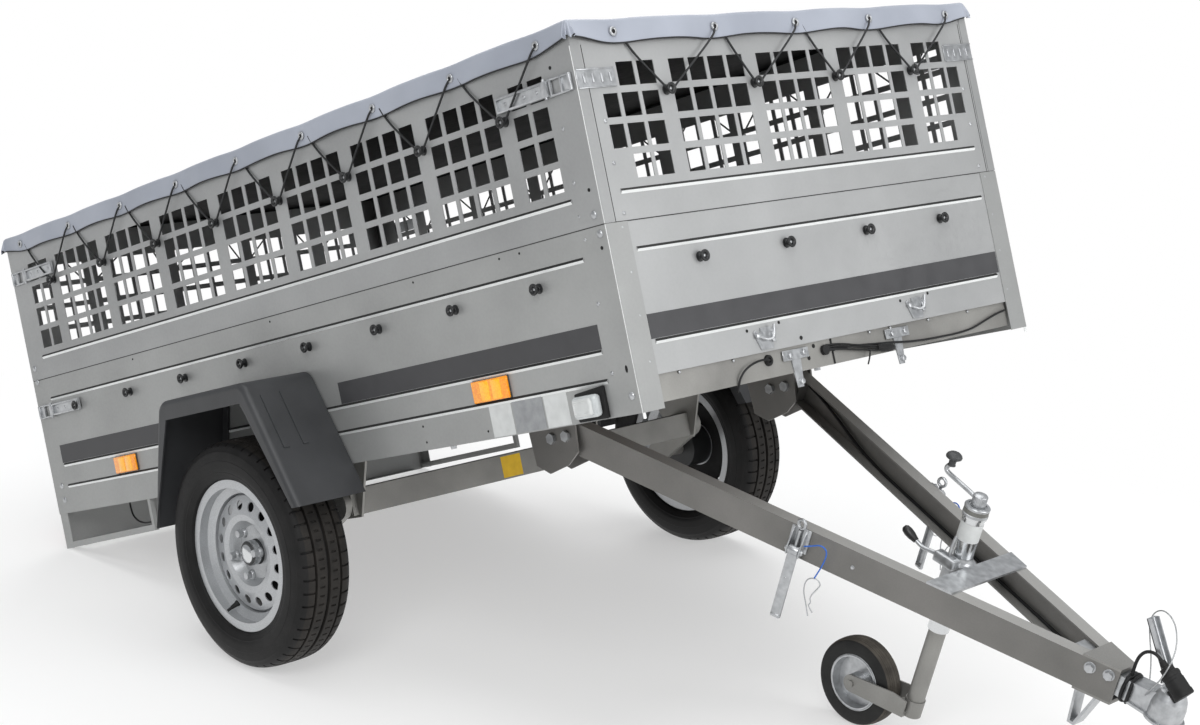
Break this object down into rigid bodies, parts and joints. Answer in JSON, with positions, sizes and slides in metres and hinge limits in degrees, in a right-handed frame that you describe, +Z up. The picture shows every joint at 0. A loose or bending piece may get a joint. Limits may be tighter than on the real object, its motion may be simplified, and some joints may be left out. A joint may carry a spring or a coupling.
{
  "type": "utility trailer",
  "caption": "Single-axle utility trailer with a mesh cage, a fabric cover, a folding V drawbar, a jockey wheel and a ball coupling, tipped back to rest on its tail.",
  "frame": {"origin": "middle of the footprint, on the floor that the wheels, the jockey wheel and the tail rest on", "axes": "+X towards the coupling, +Y to the trailer's left, +Z up"},
  "size_m": [3.403, 1.68, 1.5581],
  "materials": {
    "amber_reflector": "amber prismatic reflector",
    "black_plastic": "moulded black plastic, fine grain",
    "black_rubber": "matt black rubber",
    "chromed_steel": "bright plated tube",
    "cover_fabric": "grey-blue coated fabric, satin",
    "galvanised_steel": "hot-dip galvanised, matt grey with a faint spangle",
    "hub_iron": "dark painted hub with a bright cap",
    "jockey_rubber": "grey solid rubber",
    "lamp_lens": "clear moulded lens over a white base",
    "plywood": "film-faced plywood",
    "rear_lens": "red and amber moulded lens",
    "sheet_steel": "galvanised sheet, smooth and pale, with a faint sheen",
    "tyre_rubber": "black tyre rubber",
    "wheel_silver": "silver wheel paint",
    "zinc_plate": "bright zinc plated"
  },
  "bodies": {
    "box": {"axle_beam": "galvanised_steel", "axle_brackets": "galvanised_steel", "box_cables": "black_rubber", "corner_clasps": "zinc_plate", "cover": "cover_fabric", "drawbar_keepers": "zinc_plate", "floor_panel": "plywood", "frame_cross_members": "sheet_steel", "frame_rails": "sheet_steel", "front_lamp_pads": "black_rubber", "front_lamps": "lamp_lens", "front_panel": "sheet_steel", "hinge_bolts": "zinc_plate", "hinge_brackets": "galvanised_steel", "lashing_knobs": "black_plastic", "mesh_front": "sheet_steel", "mesh_rear": "sheet_steel", "mesh_side_left": "sheet_steel", "mesh_side_right": "sheet_steel", "mudguard_left": "black_plastic", "mudguard_right": "black_plastic", "rear_lamps": "rear_lens", "rear_posts": "sheet_steel", "side_panel_left": "sheet_steel", "side_panel_right": "sheet_steel", "side_reflectors": "amber_reflector", "sill_grommet": "black_rubber", "swing_arm_left": "galvanised_steel", "swing_arm_right": "galvanised_steel", "tail_bar": "sheet_steel"},
    "wheel_right": {"tyre_right": "tyre_rubber", "rim_right": "wheel_silver", "hub_right": "hub_iron"},
    "wheel_left": {"tyre_left": "tyre_rubber", "rim_left": "wheel_silver", "hub_left": "hub_iron"},
    "drawbar": {"drawbar_arm_right": "sheet_steel", "drawbar_arm_left": "sheet_steel", "nose_plates": "zinc_plate", "jockey_clamp": "zinc_plate", "ball_coupling": "zinc_plate", "coupling_handle": "zinc_plate", "parking_foot": "zinc_plate", "drawbar_latch_right": "zinc_plate", "drawbar_latch_left": "zinc_plate", "jockey_outer_tube": "chromed_steel", "jockey_crank": "black_plastic", "clamp_lever": "zinc_plate", "trailer_lead": "black_rubber", "lead_tail": "black_rubber", "lead_plug": "black_plastic", "drawbar_cable": "black_rubber", "safety_cable": "zinc_plate"},
    "tailgate": {"tailgate": "sheet_steel"},
    "jockey_leg": {"jockey_inner_tube": "chromed_steel"},
    "jockey_fork": {"jockey_fork": "zinc_plate"},
    "jockey_wheel": {"jockey_tyre": "jockey_rubber", "jockey_rim": "wheel_silver"}
  },
  "joints": [
    {"name": "wheel_right_spin", "type": "hinge", "parent": "box", "child": "wheel_right", "pos_m": [-0.32977, -0.75, 0.2735], "axis": [0, 1, 0], "continuous": true},
    {"name": "wheel_left_spin", "type": "hinge", "parent": "box", "child": "wheel_left", "pos_m": [-0.32977, 0.75, 0.2735], "axis": [0, 1, 0], "continuous": true},
    {"name": "drawbar_fold", "type": "hinge", "parent": "box", "child": "drawbar", "pos_m": [0.35944, 0, 0.62646], "axis": [0, 1, 0], "range_deg": [-33.69, 4]},
    {"name": "tailgate_hinge", "type": "hinge", "parent": "box", "child": "tailgate", "pos_m": [-1.46468, 0, 0.17447], "axis": [0, -1, 0], "range_deg": [0, 90]},
    {"name": "jockey_leg_slide", "type": "slide", "parent": "drawbar", "child": "jockey_leg", "axis": [0.2821, 0, 0.9594], "range_m": [-0.05, 0.16]},
    {"name": "jockey_fork_swivel", "type": "hinge", "parent": "jockey_leg", "child": "jockey_fork", "pos_m": [1.04517, 0, 0.10142], "axis": [0.2821, 0, 0.9594], "continuous": true},
    {"name": "jockey_wheel_spin", "type": "hinge", "parent": "jockey_fork", "child": "jockey_wheel", "pos_m": [0.89048, 0, 0.1], "axis": [0, 1, 0], "continuous": true}
  ]
}
